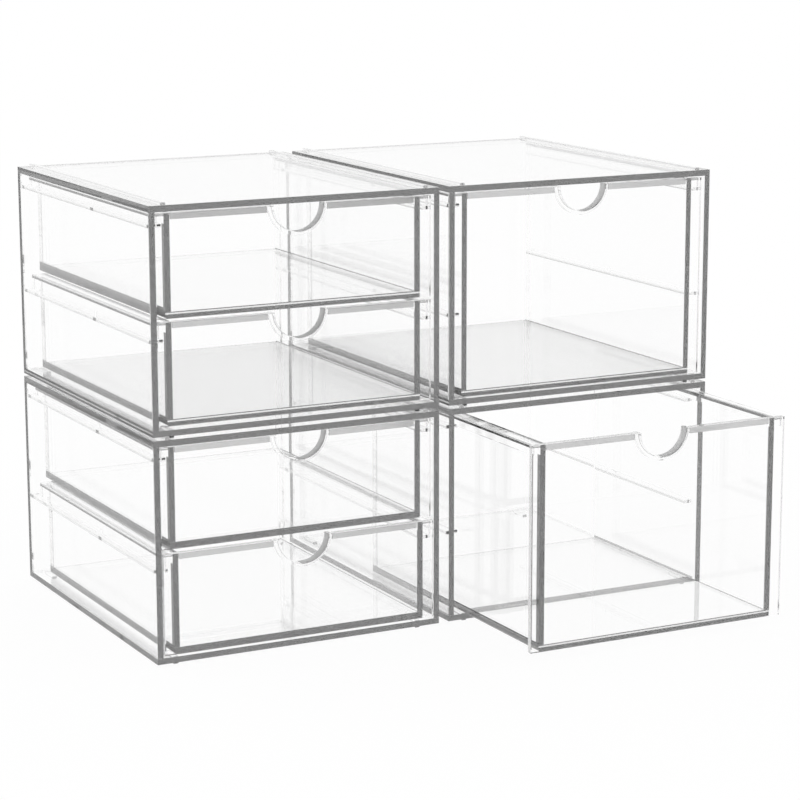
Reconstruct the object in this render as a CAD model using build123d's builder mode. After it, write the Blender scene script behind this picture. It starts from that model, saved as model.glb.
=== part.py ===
from build123d import *
import os

# Clear acrylic drawer organizer: four equal cases stacked in two columns, with six sliding drawers.
# The left cases hold two shallow drawers each, the right cases one deep drawer each. Units are
# millimetres. +X runs along the front, +Y to the back and +Z up. The origin lies on the table, under
# the middle of the set as it stands with the lower right drawer pulled out and the lowest left one ajar.

# Case sheets
case_width = 234.3
case_depth = 279.5
case_height = 168.5
side_sheet = 4.6
top_sheet = 4.7
base_sheet = 4.5
back_sheet = 5.5
bond_line = 0.05

# How the cases stand
column_gap = 9.0
right_setback = 0.8
open_pull = 120.4
ajar_pull = 4.4

# Stacking ridges on the top panel, and the feet that stand between the ridges of the case below
ridge_inset = 9.4
ridge_width = 4.0
ridge_height = 2.0
ridge_setback = 0.8
ridge_bevel = 0.6
foot_ridge_clearance = 0.9
foot_width = 4.0
foot_length = 18.0
foot_height = 2.6
foot_setback = 5.0
foot_bevel = 0.4

# Rails on the case's side panels, below the top edges of the drawers, with a stop nib on each
rail_drop = 8.0
low_rail_drop = 12.8
rail_thickness = 2.6
nib_width = 1.2
nib_length = 4.0
nib_height = 3.0
nib_skirt_clearance = 1.8

# Drawer fits in the case
plate_recess = 2.7
plate_side_clearance = 1.0
deep_floor_clearance = 0.5
shallow_floor_clearance = 2.1
top_clearance = 1.5
drawer_gap = 2.5
rear_room = 16.5
closed_gap = 0.3
drawer_travel = 128.0

# Drawer sheets
plate_thickness = 4.5
plate_bevel = 0.5
tray_side = 4.4
tray_floor = 4.6
tray_back = 4.0
floor_round = 1.0

# Finger notch, a little right of the middle, its collar and the lip along the top of the drawer front
notch_radius = 20.2
notch_offset = 2.4
collar_wall = 3.0
collar_depth = 8.5
lip_height = 5.0
lip_depth = 6.0
lip_end_gap = 0.8
lip_collar_gap = 1.5

# Runners on the tray's sides, hanging over the rails, with a catch at the rear end
runner_wall_clearance = 2.3
runner_skirt = 1.6
runner_channel = 5.2
runner_flange = 2.4
runner_round = 1.1
runner_rail_clearance = 0.3
catch_length = 5.0
catch_rail_clearance = 1.1

# Worked out from the sizes above
inner_width = case_width - 2 * side_sheet
panel_height = case_height - top_sheet - base_sheet - 2 * bond_line
rail_reach = runner_wall_clearance + runner_skirt + nib_skirt_clearance + nib_width
rail_front = plate_recess + plate_thickness + closed_gap
side_depth = case_depth - back_sheet - bond_line
tray_width = inner_width - 2 * (runner_wall_clearance + runner_skirt + runner_channel)
tray_inner = tray_width - 2 * tray_side
tray_front = plate_thickness + bond_line
drawer_length = case_depth - rear_room - plate_recess
tray_length = drawer_length - tray_front
nib_front = plate_recess + drawer_length - catch_length - drawer_travel - nib_length
drawer_top = case_height - top_sheet - top_clearance
deep_low = base_sheet + deep_floor_clearance
shallow_low = base_sheet + shallow_floor_clearance
deep_height = drawer_top - deep_low
shallow_height = (drawer_top - shallow_low - drawer_gap) / 2
rail_heights = (drawer_top - rail_drop, shallow_low + shallow_height - low_rail_drop)
foot_inset = ridge_inset + ridge_width + foot_ridge_clearance
case_pitch = case_height + foot_height
column_x = (case_width + column_gap) / 2
front_y = (open_pull - plate_recess - case_depth) / 2 - right_setback


def save(piece, name):
    piece.part.label = name
    export_step(piece.part, f"parts/{name}.step")


def upright(x, y, z):
    """A plane that faces the front: its own X is +X and its own Y is +Z."""
    return Plane((x, y, z), x_dir=(1, 0, 0), z_dir=(0, -1, 0))


def mid_plane(x):
    """The plane that halves a case or drawer from left to right."""
    return Plane((x, 0, 0), x_dir=(0, 1, 0), z_dir=(1, 0, 0))


# Case pieces: x is the case's middle, y its front and z the underside of its base panel


def top_panel(case, x, y, z):
    with BuildPart() as panel:
        with BuildSketch(Plane((x, y, z + case_height - top_sheet))):
            Rectangle(case_width, case_depth, align=(Align.CENTER, Align.MIN))
        extrude(amount=top_sheet)
    save(panel, f"{case}_top_panel")


def base_panel(case, x, y, z):
    with BuildPart() as panel:
        with BuildSketch(Plane((x, y, z))):
            Rectangle(case_width, case_depth, align=(Align.CENTER, Align.MIN))
        extrude(amount=base_sheet)
    save(panel, f"{case}_base_panel")


def side_panels(case, x, y, z):
    middle = (case_width - side_sheet) / 2
    with BuildPart() as panels:
        with BuildSketch(Plane((x, y, z + base_sheet + bond_line))):
            with Locations((-middle, 0), (middle, 0)):
                Rectangle(side_sheet, side_depth, align=(Align.CENTER, Align.MIN))
        extrude(amount=panel_height)
    save(panels, f"{case}_side_panels")


def back_panel(case, x, y, z):
    with BuildPart() as panel:
        with BuildSketch(Plane((x, y + case_depth, z + base_sheet + bond_line))):
            Rectangle(case_width, back_sheet, align=(Align.CENTER, Align.MAX))
        extrude(amount=panel_height)
    save(panel, f"{case}_back_panel")


def rails(case, x, y, z):
    wall = inner_width / 2 - bond_line
    tip = inner_width / 2 - rail_reach
    with BuildPart() as strips:
        for height in rail_heights:
            with BuildSketch(Plane((x, y + rail_front, z + height))):
                with Locations((wall, 0)):
                    Rectangle(wall - tip, side_depth - rail_front, align=(Align.MAX, Align.MIN))
            extrude(amount=-rail_thickness)
            with BuildSketch(Plane((x, y + nib_front, z + height))):
                with Locations((tip, 0)):
                    Rectangle(nib_width, nib_length, align=(Align.MIN, Align.MIN))
            extrude(amount=nib_height)
        mirror(about=mid_plane(x))
    save(strips, f"{case}_rails")


def stacking_ridges(case, x, y, z):
    middle = case_width / 2 - ridge_inset - ridge_width / 2
    with BuildPart() as ridges:
        with BuildSketch(Plane((x, y + ridge_setback, z + case_height + bond_line))):
            with Locations((-middle, 0), (middle, 0)):
                Rectangle(ridge_width, case_depth - 2 * ridge_setback, align=(Align.CENTER, Align.MIN))
        extrude(amount=ridge_height - bond_line)
        chamfer(ridges.edges().filter_by(Axis.Y).group_by(Axis.Z)[-1], length=ridge_bevel)
    save(ridges, f"{case}_stacking_ridges")


def feet(case, x, y, z):
    middle = case_width / 2 - foot_inset - foot_width / 2
    front = foot_setback + foot_length / 2
    back = case_depth - front
    with BuildPart() as blocks:
        with BuildSketch(Plane((x, y, z - foot_height))):
            with Locations((-middle, front), (middle, front), (-middle, back), (middle, back)):
                Rectangle(foot_width, foot_length)
        extrude(amount=foot_height - bond_line)
        chamfer(blocks.edges().group_by(Axis.Z)[0], length=foot_bevel)
    save(blocks, f"{case}_feet")


# Drawer pieces: x is the drawer's middle, y the front of its plate and z the underside of its floor


def drawer_front(drawer, x, y, z, height):
    plate_width = inner_width - 2 * plate_side_clearance
    with BuildPart() as front:
        with BuildSketch(upright(x, y, z)):
            Rectangle(plate_width, height, align=(Align.CENTER, Align.MIN))
        extrude(amount=-plate_thickness)
        with BuildSketch(upright(x, y, z + height)):
            Rectangle(tray_inner - 2 * lip_end_gap, lip_height, align=(Align.CENTER, Align.MAX))
            with Locations((notch_offset, 0)):
                Circle(notch_radius + collar_wall + lip_collar_gap, mode=Mode.SUBTRACT)
        extrude(amount=-lip_depth)
        with BuildSketch(upright(x, y, z + height)):
            with Locations((notch_offset, 0)):
                Circle(notch_radius + collar_wall)
            Rectangle(plate_width, height, align=(Align.CENTER, Align.MAX), mode=Mode.INTERSECT)
        extrude(amount=-collar_depth)
        with BuildSketch(upright(x, y, z + height)):
            with Locations((notch_offset, 0)):
                Circle(notch_radius)
        extrude(amount=-collar_depth, mode=Mode.SUBTRACT)
        chamfer(front.faces().sort_by(Axis.Y)[0].edges(), length=plate_bevel)
    save(front, f"{drawer}_front")


def drawer_floor(drawer, x, y, z):
    with BuildPart() as floor:
        with BuildSketch(Plane((x, y + tray_front, z))):
            Rectangle(tray_width, tray_length, align=(Align.CENTER, Align.MIN))
        extrude(amount=tray_floor)
        fillet(floor.edges().filter_by(Axis.Y).group_by(Axis.Z)[0], radius=floor_round)
    save(floor, f"{drawer}_floor")


def drawer_sides(drawer, x, y, z, height):
    middle = (tray_width - tray_side) / 2
    with BuildPart() as sides:
        with BuildSketch(Plane((x, y + tray_front, z + tray_floor + bond_line))):
            with Locations((-middle, 0), (middle, 0)):
                Rectangle(tray_side, tray_length, align=(Align.CENTER, Align.MIN))
        extrude(amount=height - tray_floor - bond_line)
    save(sides, f"{drawer}_sides")


def drawer_back(drawer, x, y, z, height):
    with BuildPart() as back:
        with BuildSketch(Plane((x, y + drawer_length, z + tray_floor + bond_line))):
            Rectangle(tray_inner - 2 * bond_line, tray_back, align=(Align.CENTER, Align.MAX))
        extrude(amount=height - tray_floor - bond_line)
    save(back, f"{drawer}_back")


def drawer_runners(drawer, x, y, z, height, rail_top):
    wall = tray_width / 2 + bond_line
    channel_end = tray_width / 2 + runner_channel
    outer = channel_end + runner_skirt
    skirt_drop = z + height - rail_top - runner_rail_clearance
    catch_drop = z + height - rail_top - catch_rail_clearance
    with BuildPart() as runners:
        with BuildSketch(upright(x, y + tray_front, z + height)) as profile:
            with BuildLine():
                Polyline(
                    (wall, 0),
                    (outer, 0),
                    (outer, -skirt_drop),
                    (channel_end, -skirt_drop),
                    (channel_end, -runner_flange),
                    (wall, -runner_flange),
                    close=True,
                )
            make_face()
            fillet(profile.vertices().group_by(Axis.X)[-1].sort_by(Axis.Y)[-1], radius=runner_round)
        extrude(amount=-tray_length)
        with BuildSketch(upright(x, y + drawer_length, z + height - runner_flange)):
            with Locations((wall, 0)):
                Rectangle(channel_end - wall, catch_drop - runner_flange, align=(Align.MIN, Align.MAX))
        extrude(amount=catch_length)
        mirror(about=mid_plane(x))
    save(runners, f"{drawer}_runners")


def build_case(case, x, y, z):
    top_panel(case, x, y, z)
    base_panel(case, x, y, z)
    side_panels(case, x, y, z)
    back_panel(case, x, y, z)
    rails(case, x, y, z)
    stacking_ridges(case, x, y, z)
    feet(case, x, y, z)


def build_drawer(drawer, x, y, z, height, rail_top):
    drawer_front(drawer, x, y, z, height)
    drawer_floor(drawer, x, y, z)
    drawer_sides(drawer, x, y, z, height)
    drawer_back(drawer, x, y, z, height)
    drawer_runners(drawer, x, y, z, height, rail_top)


os.makedirs("parts", exist_ok=True)

for level, floor_z in (("lower", foot_height), ("upper", foot_height + case_pitch)):
    top_rail = floor_z + rail_heights[0]
    low_rail = floor_z + rail_heights[1]
    low_z = floor_z + shallow_low
    high_z = low_z + shallow_height + drawer_gap
    bottom_pull = ajar_pull if level == "lower" else 0.0
    deep_pull = open_pull if level == "lower" else 0.0

    build_case(f"{level}_left", -column_x, front_y, floor_z)
    closed_y = front_y + plate_recess
    build_drawer(f"{level}_left_top_drawer", -column_x, closed_y, high_z, shallow_height, top_rail)
    bottom_y = closed_y - bottom_pull
    build_drawer(f"{level}_left_bottom_drawer", -column_x, bottom_y, low_z, shallow_height, low_rail)

    build_case(f"{level}_right", column_x, front_y + right_setback, floor_z)
    deep_y = front_y + right_setback + plate_recess - deep_pull
    build_drawer(f"{level}_right_drawer", column_x, deep_y, floor_z + deep_low, deep_height, top_rail)
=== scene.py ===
import math
from collections import namedtuple

import bpy
from mathutils import Matrix, Vector


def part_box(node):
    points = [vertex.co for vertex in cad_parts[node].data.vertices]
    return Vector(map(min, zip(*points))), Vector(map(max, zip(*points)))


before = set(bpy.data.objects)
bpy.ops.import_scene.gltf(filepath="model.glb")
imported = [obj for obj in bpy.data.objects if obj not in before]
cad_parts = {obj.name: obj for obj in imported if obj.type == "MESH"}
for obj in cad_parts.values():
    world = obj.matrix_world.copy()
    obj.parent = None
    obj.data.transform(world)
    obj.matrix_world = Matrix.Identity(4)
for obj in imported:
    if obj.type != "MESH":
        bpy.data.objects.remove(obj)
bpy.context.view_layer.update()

MM = 0.001
WHITE = (1.0, 1.0, 1.0, 1.0)
BLACK = (0.0, 0.0, 0.0, 1.0)

# Camera: its place from the middle of the set, the left stack's front and its lowest panel's underside,
# its angles in degrees, its lens and sensor in millimetres, and its nearest and farthest view in metres
CAMERA_PLACE = Vector((-926.0, -1719.9, 578.1)) * MM
CAMERA_YAW = 27.306
CAMERA_PITCH = 11.623
CAMERA_ROLL = -0.109
LEVEL_VIEW = 90.0
CAMERA_LENS = 117.585
CAMERA_SENSOR = 36.0
CAMERA_REACH = (0.01, 200.0)

# Clear acrylic: its index, the tint of its reflections, and what light loses in a metre of it
ACRYLIC_IOR = 1.49
ACRYLIC_SHINE = (0.1, 0.1, 0.1, 1.0)
SHEET_DENSITY = 0.8
STRIP_DENSITY = 0.6
TRAY_BACK_DENSITY = 0.1

# Greys of painted shade on its surface, at cut edges, joins, faces and small marks, standing in for the
# dark look that light gives clear acrylic there; light that crosses there is dimmed to the level's square
# root
CLEAR = 1.0
NEAR_EDGE = 0.18
FAR_EDGE = 0.45
BACK_PANEL_EDGE = 0.06
BASE_LEFT_EDGE = 0.05
BORDER = 0.35
FLOOR_FRONT_EDGE = 0.075
FLOOR_LEFT_EDGE = 0.03
OPEN_FLOOR_EDGE = 0.24
FLOOR_BACK_LINE = 0.6
PLATE_EDGE = 0.95
LIP_SHADE = 0.47
DARK_LIP_SHADE = 0.32
NOTCH_WALL_SHADE = 0.5
JOINT_SHADE = 0.06
SEAM_SHADE = 0.03
OUTER_SEAM_SHADE = 0.05
WIDE_SEAM_SHADE = 0.3
CORNER_SHADE = 0.3
WALL_CREST = 0.04
FLANGE_RIM = 0.01
FLANGE_END = 0.35
RAIL_FACE = 0.92
RAIL_LINE = 0.55
RAIL_TIP = 0.01
NIB_SHADE = 0.0
RIDGE_SIDE = 0.94
RIDGE_BEVEL = 0.82
RIDGE_END = 0.3
FOOT_END = 0.03

# Where like pieces differ in painted shade: top panels by their level, rail ends by their column, some
# floors, and drawers with their own shade at joints, lips, edges or seams
TOP_SHADE = {"upper": 0.96, "lower": 1.0}
LEFT_RAIL_END = {"left": 0.015, "right": 0.0}
RIGHT_RAIL_END = {"left": 0.01, "right": 0.25}
# Even painted shade over some drawers' floors
FLOOR_SHADE = {
    "upper_left_bottom_drawer": 0.86,
    "upper_left_top_drawer": 0.97,
    "upper_right_drawer": 0.9,
}
FRONTS_WITHOUT_JOINT_SHADE = ("upper_right_drawer",)
OPEN_DRAWERS = ("lower_right_drawer",)
DARK_LIPS = ("upper_left_top_drawer_front",)
FULL_FLOOR_EDGES = ("lower_left_top_drawer", "lower_left_bottom_drawer")
TALL_SEAM_SHADES = ("upper_left_top_drawer",)

# Sizes of the details that get painted shade, and frost on some, by their place, in metres
LIP_DEPTH = 6.0 * MM
LIP_HEIGHT = 5.0 * MM
NOTCH_RADIUS = 20.2 * MM
NOTCH_OFFSET = 2.4 * MM
FLANGE_HEIGHT = 2.4 * MM
RIM_DEPTH = 0.3 * MM
RIM_DROP = (0.9 * MM, 2.6 * MM)
JOINT_DEPTH = 4.0 * MM
RUNNER_DROP = 8.0 * MM
WALL_THICKNESS = 4.4 * MM
CREST_WIDTH = 2.4 * MM
SEAM_HEIGHT = 0.35 * MM
OUTER_SEAM_HEIGHT = 1.5 * MM
TALL_SEAM_HEIGHT = 3.0 * MM
WIDE_SEAM_HEIGHT = 2.0 * MM
WIDE_SEAM_START = 101.0 * MM
CORNER_SPAN = (1.2 * MM, 0.3 * MM)
FLOOR_LINE = (2.7 * MM, 3.9 * MM)
BASE_LINE = (1.7 * MM, 2.8 * MM)
RIGHT_BORDER = 2.0 * MM
BACK_BORDER = 3.0 * MM
BACK_LINE = 2.5 * MM
RAIL_WIDTH = 6.85 * MM
RAIL_THICKNESS = 2.6 * MM
RAIL_LINE_HEIGHT = 0.5 * MM
RAIL_TIP_HEIGHT = 1.5 * MM
NIB_HEIGHT = 3.0 * MM
NIB_SHADE_SPAN = (112.5 * MM, 118.5 * MM)
NIB_SHADE_HEIGHT = 1.6 * MM
SKIRT_SPAN = (2.3 * MM, 3.9 * MM)
SKIN = 0.2 * MM

# Roughness, least and most, of a smudged face, a cut edge, a bonded end and a frosted face
FACE_ROUGHNESS = (0.0, 0.006)
EDGE_ROUGHNESS = (0.01, 0.04)
BOND_ROUGHNESS = (0.2, 0.3)
FROST_ROUGHNESS = (0.35, 0.45)
SMUDGE_SCALE = 60.0

# Floor: its size and its gap under the feet in metres, and the share of its white that shadows don't dim
FLOOR_SIZE = 120.0
FLOOR_GAP = 0.2 * MM
FLOOR_GLOW = 0.96

# How far a normal leans towards an axis before the face counts as looking that way, or as a bevel
FACING = 0.5
NOTCH_FACING = 0.1
BEVEL_LEAN = (0.3, 0.9)

# How often light may bounce, enough for a view through all the sheets
BOUNCES = 128
TRANSPARENT_BOUNCES = 32

Axes = namedtuple("Axes", "x y z")


class Tree:
    """A material's node tree, with short calls for the few kinds of node that the acrylic needs."""

    def __init__(self, name):
        self.material = bpy.data.materials.new(name)
        self.material.use_nodes = True
        self.nodes = self.material.node_tree.nodes
        self.links = self.material.node_tree.links
        self.shader = self.nodes["Principled BSDF"]

    def feed(self, socket, value):
        if isinstance(value, bpy.types.NodeSocket):
            self.links.new(value, socket)
        else:
            socket.default_value = value

    def math(self, operation, first, second=0.0):
        node = self.nodes.new("ShaderNodeMath")
        node.operation = operation
        self.feed(node.inputs[0], first)
        self.feed(node.inputs[1], second)
        return node.outputs["Value"]

    def split(self, vector):
        node = self.nodes.new("ShaderNodeSeparateXYZ")
        self.feed(node.inputs["Vector"], vector)
        return Axes(*node.outputs)

    def over(self, value, limit):
        return self.math("GREATER_THAN", value, limit)

    def under(self, value, limit):
        return self.math("LESS_THAN", value, limit)

    def between(self, value, low, high):
        return self.both(self.over(value, low), self.under(value, high))

    def within(self, value, spans):
        """The mask of what lies in any of the spans, each a lowest and a highest value."""
        return self.either(*(self.between(value, low, high) for low, high in spans))

    def both(self, *masks):
        result = masks[0]
        for mask in masks[1:]:
            result = self.math("MULTIPLY", result, mask)
        return result

    def either(self, *masks):
        result = masks[0]
        for mask in masks[1:]:
            result = self.math("MAXIMUM", result, mask)
        return result

    def but(self, mask):
        return self.math("SUBTRACT", 1.0, mask)

    def blend(self, mask, low, high):
        """A number that goes from low to high as the mask goes from 0 to 1."""
        node = self.nodes.new("ShaderNodeMix")
        self.feed(node.inputs["Factor"], mask)
        self.feed(node.inputs["A"], low)
        self.feed(node.inputs["B"], high)
        return node.outputs["Result"]

    def place(self):
        """Where a point lies in the frame at rest."""
        return self.split(self.nodes.new("ShaderNodeTexCoord").outputs["Object"])

    def distance(self, value, middle):
        return self.math("ABSOLUTE", self.math("SUBTRACT", value, middle))

    def length(self, across, rise):
        """How far a point lies from the one where both numbers are zero."""
        squares = [self.math("MULTIPLY", part, part) for part in (across, rise)]
        return self.math("SQRT", self.math("ADD", *squares))

    def outward(self):
        """The normal that points out of the piece, from whichever side the surface is met."""
        geometry = self.nodes.new("ShaderNodeNewGeometry")
        sign = self.blend(geometry.outputs["Backfacing"], 1.0, -1.0)
        normal = self.split(geometry.outputs["True Normal"])
        return Axes(*(self.math("MULTIPLY", part, sign) for part in normal))

    def noise(self, scale):
        node = self.nodes.new("ShaderNodeTexNoise")
        self.feed(node.inputs["Vector"], self.nodes.new("ShaderNodeTexCoord").outputs["Object"])
        node.inputs["Scale"].default_value = scale
        return node.outputs["Fac"]

    def grey(self, tints):
        shade = CLEAR
        for mask, level in tints:
            shade = self.blend(mask, shade, level)
        node = self.nodes.new("ShaderNodeCombineColor")
        for channel in node.inputs:
            self.feed(channel, shade)
        return node.outputs["Color"]

    def finish(self, tints, finishes, density):
        """Clear acrylic. A tint is a mask and the grey of painted shade there, a finish a mask and the
        roughness there.
        """
        self.feed(self.shader.inputs["Base Color"], self.grey(tints) if tints else WHITE)
        smudge = self.noise(SMUDGE_SCALE)
        roughness = self.blend(smudge, *FACE_ROUGHNESS)
        for mask, reach in finishes:
            roughness = self.blend(mask, roughness, self.blend(smudge, *reach))
        self.feed(self.shader.inputs["Roughness"], roughness)
        self.shader.inputs["IOR"].default_value = ACRYLIC_IOR
        self.shader.inputs["Specular Tint"].default_value = ACRYLIC_SHINE
        self.shader.inputs["Transmission Weight"].default_value = 1.0
        absorption = self.nodes.new("ShaderNodeVolumeAbsorption")
        absorption.inputs["Color"].default_value = BLACK
        absorption.inputs["Density"].default_value = density
        self.links.new(absorption.outputs["Volume"], self.nodes["Material Output"].inputs["Volume"])
        return self.material


class Edges:
    """Masks of the cut edges of a sheet whose faces look along the given axis: all, or one side's."""

    def __init__(self, tree, axis):
        self.tree = tree
        self.facing = tree.outward()
        across = self.facing["XYZ".index(axis)]
        self.all = tree.under(tree.math("ABSOLUTE", across), FACING)

    def left(self):
        return self.tree.both(self.all, self.tree.under(self.facing.x, -FACING))

    def front(self):
        return self.tree.both(self.all, self.tree.under(self.facing.y, -FACING))

    def right(self):
        return self.tree.both(self.all, self.tree.over(self.facing.x, FACING))

    def back(self):
        return self.tree.both(self.all, self.tree.over(self.facing.y, FACING))


def edge_tints(edges, near):
    """The painted shade on a case sheet's edges: one grey on the far sides, and near on the left and in
    front.
    """
    far_sides = [(edges.right(), FAR_EDGE), (edges.back(), FAR_EDGE)]
    return far_sides + [(edges.left(), near), (edges.front(), near)]


def middle_and_half(low, high):
    """The middle of a box from left to right, and half its width."""
    return (low.x + high.x) / 2, (high.x - low.x) / 2


def sheet(axis, near):
    """An upright case sheet whose faces look along the given axis, with painted shade on its edges."""
    tree = Tree(f"clear_sheet_{axis.lower()}")
    edges = Edges(tree, axis)
    return tree.finish(edge_tints(edges, near), [(edges.all, EDGE_ROUGHNESS)], SHEET_DENSITY)


def top_panel(name):
    """A case's top panel, with a thin painted shade line along its right and back borders, painted shade on
    its edges, and an even painted shade over an upper one.
    """
    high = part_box(name)[1]
    level = name.split("_")[0]
    tree = Tree(name)
    edges = Edges(tree, "Z")
    place = tree.place()
    face = tree.but(edges.all)
    right_border = tree.over(place.x, high.x - RIGHT_BORDER)
    back_border = tree.over(place.y, high.y - BACK_BORDER)
    border = tree.both(face, tree.either(right_border, back_border))
    tints = [(face, TOP_SHADE[level]), (border, BORDER)] + edge_tints(edges, NEAR_EDGE)
    return tree.finish(tints, [(edges.all, EDGE_ROUGHNESS)], SHEET_DENSITY)


def base_panel(name):
    """A case's base panel, with painted shade on its edges; an upper one has darker painted shade on its
    left edge, with an unpainted line along it that stands in for a highlight.
    """
    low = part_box(name)[0]
    tree = Tree(name)
    edges = Edges(tree, "Z")
    tints = edge_tints(edges, NEAR_EDGE)
    if name.startswith("upper"):
        left = edges.left()
        line = tree.between(tree.place().z, low.z + BASE_LINE[0], low.z + BASE_LINE[1])
        tints += [(left, BASE_LEFT_EDGE), (tree.both(left, line), CLEAR)]
    return tree.finish(tints, [(edges.all, EDGE_ROUGHNESS)], SHEET_DENSITY)


def tray_back():
    """A drawer's back, glued in between the walls and clear all over."""
    tree = Tree("clear_tray_back")
    return tree.finish([], [(Edges(tree, "Y").all, EDGE_ROUGHNESS)], TRAY_BACK_DENSITY)


def tray_floor(name):
    """A drawer's floor, with painted shade on its edges and as a thin line before the back, mostly an
    unpainted line in its front edge's shade that stands in for a highlight, and on some an even painted
    shade.
    """
    low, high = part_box(name)
    drawer = name.removesuffix("_floor")
    back_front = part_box(f"{drawer}_back")[0].y
    tree = Tree(name)
    edges = Edges(tree, "Z")
    place = tree.place()
    top = tree.over(place.z, high.z - SKIN)
    back_line = tree.both(top, tree.between(place.y, back_front - BACK_LINE, back_front))
    front = edges.front()
    tints = [
        (tree.but(edges.all), FLOOR_SHADE.get(drawer, CLEAR)),
        (back_line, FLOOR_BACK_LINE),
        (edges.right(), FAR_EDGE),
        (edges.left(), OPEN_FLOOR_EDGE if drawer in OPEN_DRAWERS else FLOOR_LEFT_EDGE),
        (front, FLOOR_FRONT_EDGE),
    ]
    if drawer not in FULL_FLOOR_EDGES:
        line = tree.between(place.z, low.z + FLOOR_LINE[0], low.z + FLOOR_LINE[1])
        tints.append((tree.both(front, line), CLEAR))
    return tree.finish(tints, [(edges.all, EDGE_ROUGHNESS)], SHEET_DENSITY)


def tray_sides(name):
    """A drawer's two walls, with painted shade as a crest line on top, as seams below, in the back corner
    and on the edges, and as a joint band in front.
    """
    low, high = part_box(name)
    middle, half = middle_and_half(low, high)
    drawer = name.removesuffix("_sides")
    back_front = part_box(f"{drawer}_back")[0].y
    tree = Tree(name)
    edges = Edges(tree, "X")
    place = tree.place()
    out = tree.distance(place.x, middle)
    left_wall = tree.under(place.x, middle)
    outside = tree.over(out, half - SKIN)
    inside = tree.both(tree.but(edges.all), tree.but(outside))
    top = tree.both(edges.all, tree.over(place.z, high.z - SKIN))
    crest = tree.both(top, tree.under(out, half - WALL_THICKNESS + CREST_WIDTH))
    at_back = tree.between(place.y, back_front - CORNER_SPAN[0], back_front + CORNER_SPAN[1])
    seam_shade = tree.both(inside, tree.under(place.z, low.z + SEAM_HEIGHT))
    seam_height = TALL_SEAM_HEIGHT if drawer in TALL_SEAM_SHADES else OUTER_SEAM_HEIGHT
    outer_seam_shade = tree.both(outside, left_wall, tree.under(place.z, low.z + seam_height))
    front = edges.front()
    tints = [
        (crest, WALL_CREST),
        (tree.both(inside, left_wall, at_back), CORNER_SHADE),
        (seam_shade, SEAM_SHADE),
        (outer_seam_shade, OUTER_SEAM_SHADE),
        (edges.back(), FAR_EDGE),
        (front, NEAR_EDGE),
    ]
    if drawer not in FRONTS_WITHOUT_JOINT_SHADE:
        below_runner = tree.under(place.z, high.z - RUNNER_DROP)
        joint_band = tree.both(tree.under(place.y, low.y + JOINT_DEPTH), below_runner)
        tints.append((tree.both(outside, joint_band), JOINT_SHADE))
    if drawer in OPEN_DRAWERS:
        far_part = tree.both(tree.over(place.x, middle), tree.over(place.y, low.y + WIDE_SEAM_START))
        wide_seam_shade = tree.both(inside, far_part, tree.under(place.z, low.z + WIDE_SEAM_HEIGHT))
        tints.append((wide_seam_shade, WIDE_SEAM_SHADE))
    return tree.finish(tints, [(edges.all, EDGE_ROUGHNESS), (front, BOND_ROUGHNESS)], SHEET_DENSITY)


def drawer_front(name):
    """The front plate, with a frosted back to its lip and a frosted wall on its finger notch's far side,
    both grey with painted shade, and faint painted shade on its edges.
    """
    low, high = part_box(name)
    tree = Tree(name)
    edges = Edges(tree, "Y")
    place = tree.place()
    across = tree.math("SUBTRACT", place.x, (low.x + high.x) / 2 + NOTCH_OFFSET)
    rise = tree.math("SUBTRACT", place.z, high.z)
    notch = tree.under(tree.length(across, rise), NOTCH_RADIUS + SKIN)
    notch_wall = tree.both(notch, tree.under(edges.facing.x, NOTCH_FACING))
    lip = tree.both(
        tree.between(place.y, low.y + LIP_DEPTH - SKIN, low.y + LIP_DEPTH + SKIN),
        tree.over(place.z, high.z - LIP_HEIGHT - SKIN),
        tree.over(edges.facing.y, FACING),
    )
    tints = [
        (edges.all, PLATE_EDGE),
        (notch, CLEAR),
        (notch_wall, NOTCH_WALL_SHADE),
        (lip, DARK_LIP_SHADE if name in DARK_LIPS else LIP_SHADE),
    ]
    finishes = [
        (edges.all, EDGE_ROUGHNESS),
        (tree.both(edges.right(), tree.but(notch)), BOND_ROUGHNESS),
        (tree.either(lip, notch_wall), FROST_ROUGHNESS),
    ]
    return tree.finish(tints, finishes, SHEET_DENSITY)


def runners(name):
    """A drawer's two runners, whose flanges have painted shade as a dark line along the outer rim and a
    grey front end.
    """
    low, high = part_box(name)
    middle, half = middle_and_half(low, high)
    tree = Tree(name)
    place = tree.place()
    flange = tree.over(place.z, high.z - FLANGE_HEIGHT)
    end = tree.both(flange, tree.under(tree.outward().y, -FACING))
    outside = tree.over(tree.distance(place.x, middle), half - RIM_DEPTH)
    rim = tree.both(outside, tree.between(place.z, high.z - RIM_DROP[1], high.z - RIM_DROP[0]))
    return tree.finish([(end, FLANGE_END), (rim, FLANGE_RIM)], [(end, EDGE_ROUGHNESS)], STRIP_DENSITY)


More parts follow.
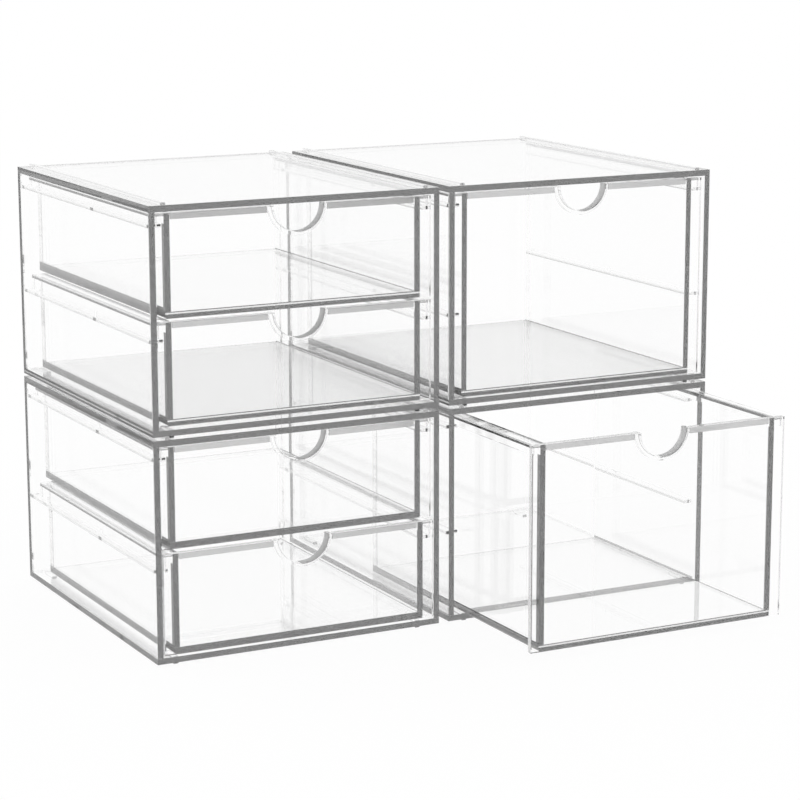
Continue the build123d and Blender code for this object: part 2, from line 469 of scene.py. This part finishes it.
def rails(name):
    """A case's four rails, with painted shade on their outer faces, as a line along their lower edges, on
    their front ends and tips, and as dark marks near the left stop nibs.
    """
    low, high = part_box(name)
    middle, half = middle_and_half(low, high)
    column = name.split("_")[1]
    tops = (high.z - NIB_HEIGHT, low.z + RAIL_THICKNESS)
    unders = (high.z - NIB_HEIGHT - RAIL_THICKNESS, low.z)
    tree = Tree(name)
    place = tree.place()
    facing = tree.outward()
    upright = tree.over(tree.math("ABSOLUTE", facing.x), FACING)
    outside = tree.over(tree.distance(place.x, middle), half - SKIN)
    line = tree.within(place.z, [(under - SKIN, under + RAIL_LINE_HEIGHT) for under in unders])
    nib_shade = tree.both(
        tree.between(place.x, low.x + RAIL_WIDTH - SKIN, middle),
        tree.between(place.y, low.y + NIB_SHADE_SPAN[0], low.y + NIB_SHADE_SPAN[1]),
        tree.within(place.z, [(under - SKIN, under + NIB_SHADE_HEIGHT) for under in unders]),
    )
    end = tree.under(facing.y, -FACING)
    left = tree.under(place.x, low.x + SKIRT_SPAN[0])
    right = tree.between(place.x, high.x - SKIRT_SPAN[1], high.x - SKIRT_SPAN[0])
    tip = tree.both(
        tree.between(place.x, low.x + SKIRT_SPAN[1], middle),
        tree.within(place.z, [(top - RAIL_TIP_HEIGHT, top) for top in tops]),
    )
    tints = [
        (outside, RAIL_FACE),
        (tree.both(upright, line), RAIL_LINE),
        (nib_shade, NIB_SHADE),
        (tree.both(end, left), LEFT_RAIL_END[column]),
        (tree.both(end, right), RIGHT_RAIL_END[column]),
        (tree.both(end, tip), RAIL_TIP),
    ]
    return tree.finish(tints, [(end, EDGE_ROUGHNESS)], STRIP_DENSITY)


def stacking_ridges():
    """The bonded ridges on a top panel, with faint painted shade on their sides and bevels and grey painted
    shade on their front ends.
    """
    tree = Tree("clear_ridge")
    facing = tree.outward()
    lean = tree.math("ABSOLUTE", facing.x)
    side = tree.over(lean, BEVEL_LEAN[1])
    bevel = tree.between(lean, *BEVEL_LEAN)
    end = tree.under(facing.y, -FACING)
    tints = [(side, RIDGE_SIDE), (bevel, RIDGE_BEVEL), (end, RIDGE_END)]
    return tree.finish(tints, [(end, EDGE_ROUGHNESS)], STRIP_DENSITY)


def feet():
    """The small bonded feet, with dark painted shade on the ends that look to the front."""
    tree = Tree("clear_foot")
    end = tree.under(tree.outward().y, -FACING)
    return tree.finish([(end, FOOT_END)], [(end, EDGE_ROUGHNESS)], STRIP_DENSITY)


def dress(node, material):
    for slot in node.material_slots:
        slot.material = material


def dress_nodes():
    shared = {
        "_side_panels": sheet("X", NEAR_EDGE),
        "_back_panel": sheet("Y", BACK_PANEL_EDGE),
        "_back": tray_back(),
        "_feet": feet(),
        "_stacking_ridges": stacking_ridges(),
    }
    own = {
        "_top_panel": top_panel,
        "_base_panel": base_panel,
        "_rails": rails,
        "_floor": tray_floor,
        "_sides": tray_sides,
        "_front": drawer_front,
        "_runners": runners,
    }
    for name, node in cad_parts.items():
        for ending, material in shared.items():
            if name.endswith(ending):
                dress(node, material)
        for ending, make in own.items():
            if name.endswith(ending):
                dress(node, make(name))


def make_floor():
    bpy.ops.mesh.primitive_plane_add(size=FLOOR_SIZE, location=(0.0, 0.0, -FLOOR_GAP))
    floor = bpy.context.object
    floor.name = "floor"
    material = bpy.data.materials.new("floor_white")
    material.use_nodes = True
    nodes = material.node_tree.nodes
    links = material.node_tree.links
    nodes.clear()
    output = nodes.new("ShaderNodeOutputMaterial")
    mix = nodes.new("ShaderNodeMixShader")
    matte = nodes.new("ShaderNodeBsdfDiffuse")
    glow = nodes.new("ShaderNodeEmission")
    matte.inputs["Color"].default_value = WHITE
    mix.inputs["Fac"].default_value = FLOOR_GLOW
    links.new(matte.outputs["BSDF"], mix.inputs[1])
    links.new(glow.outputs["Emission"], mix.inputs[2])
    links.new(mix.outputs["Shader"], output.inputs["Surface"])
    floor.data.materials.append(material)


def make_world():
    world = bpy.data.worlds.new("studio")
    world.use_nodes = True
    background = world.node_tree.nodes["Background"]
    background.inputs["Color"].default_value = WHITE
    background.inputs["Strength"].default_value = 1.0
    bpy.context.scene.world = world


def turned(degrees, axis):
    return Matrix.Rotation(math.radians(degrees), 4, axis)


def make_camera():
    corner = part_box("lower_left_base_panel")[0]
    data = bpy.data.cameras.new("camera")
    data.sensor_width = CAMERA_SENSOR
    data.lens = CAMERA_LENS
    data.clip_start, data.clip_end = CAMERA_REACH
    camera = bpy.data.objects.new("camera", data)
    place = CAMERA_PLACE + Vector((0.0, corner.y, corner.z))
    yaw = turned(-CAMERA_YAW, "Z")
    pitch = turned(LEVEL_VIEW - CAMERA_PITCH, "X")
    roll = turned(CAMERA_ROLL, "Z")
    camera.matrix_world = Matrix.Translation(place) @ yaw @ pitch @ roll
    bpy.context.scene.collection.objects.link(camera)
    bpy.context.scene.camera = camera


dress_nodes()
make_floor()
make_world()
make_camera()

scene = bpy.context.scene
scene.view_settings.view_transform = "Standard"
scene.cycles.max_bounces = BOUNCES
scene.cycles.glossy_bounces = BOUNCES
scene.cycles.transmission_bounces = BOUNCES
scene.cycles.transparent_max_bounces = TRANSPARENT_BOUNCES
